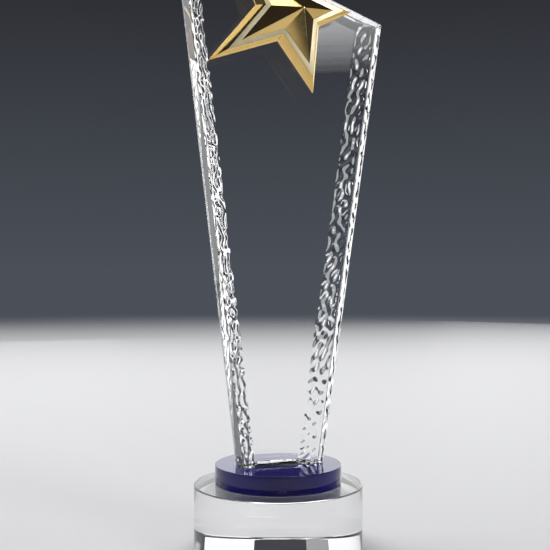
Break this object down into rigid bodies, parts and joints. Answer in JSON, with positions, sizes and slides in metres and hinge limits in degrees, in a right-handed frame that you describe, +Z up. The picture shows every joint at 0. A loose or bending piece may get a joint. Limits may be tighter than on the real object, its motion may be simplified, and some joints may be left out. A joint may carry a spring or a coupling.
{
  "type": "star trophy",
  "caption": "Crystal award: a slanted clear column with carved rear bevels, a gold five-pointed star on its face, a blue disc and a round clear base",
  "frame": {"origin": "centre of the clear base's underside", "axes": "+Z up along the column, -Y towards the face that carries the star, +X to the right seen from the front"},
  "size_m": [0.1009, 0.08, 0.2864],
  "materials": {
    "clear_crystal": "polished optical crystal",
    "blue_crystal": "polished cobalt-blue crystal",
    "gold_plate": "bright gold plate, over a metal taken as cast zinc",
    "adhesive": "clear cured adhesive"
  },
  "bodies": {
    "root": {"clear_base": "clear_crystal", "blue_disc": "blue_crystal", "crystal_column": "clear_crystal", "gold_star": "gold_plate", "star_adhesive": "adhesive", "column_adhesive": "adhesive", "disc_adhesive": "adhesive"}
  },
  "joints": []
}
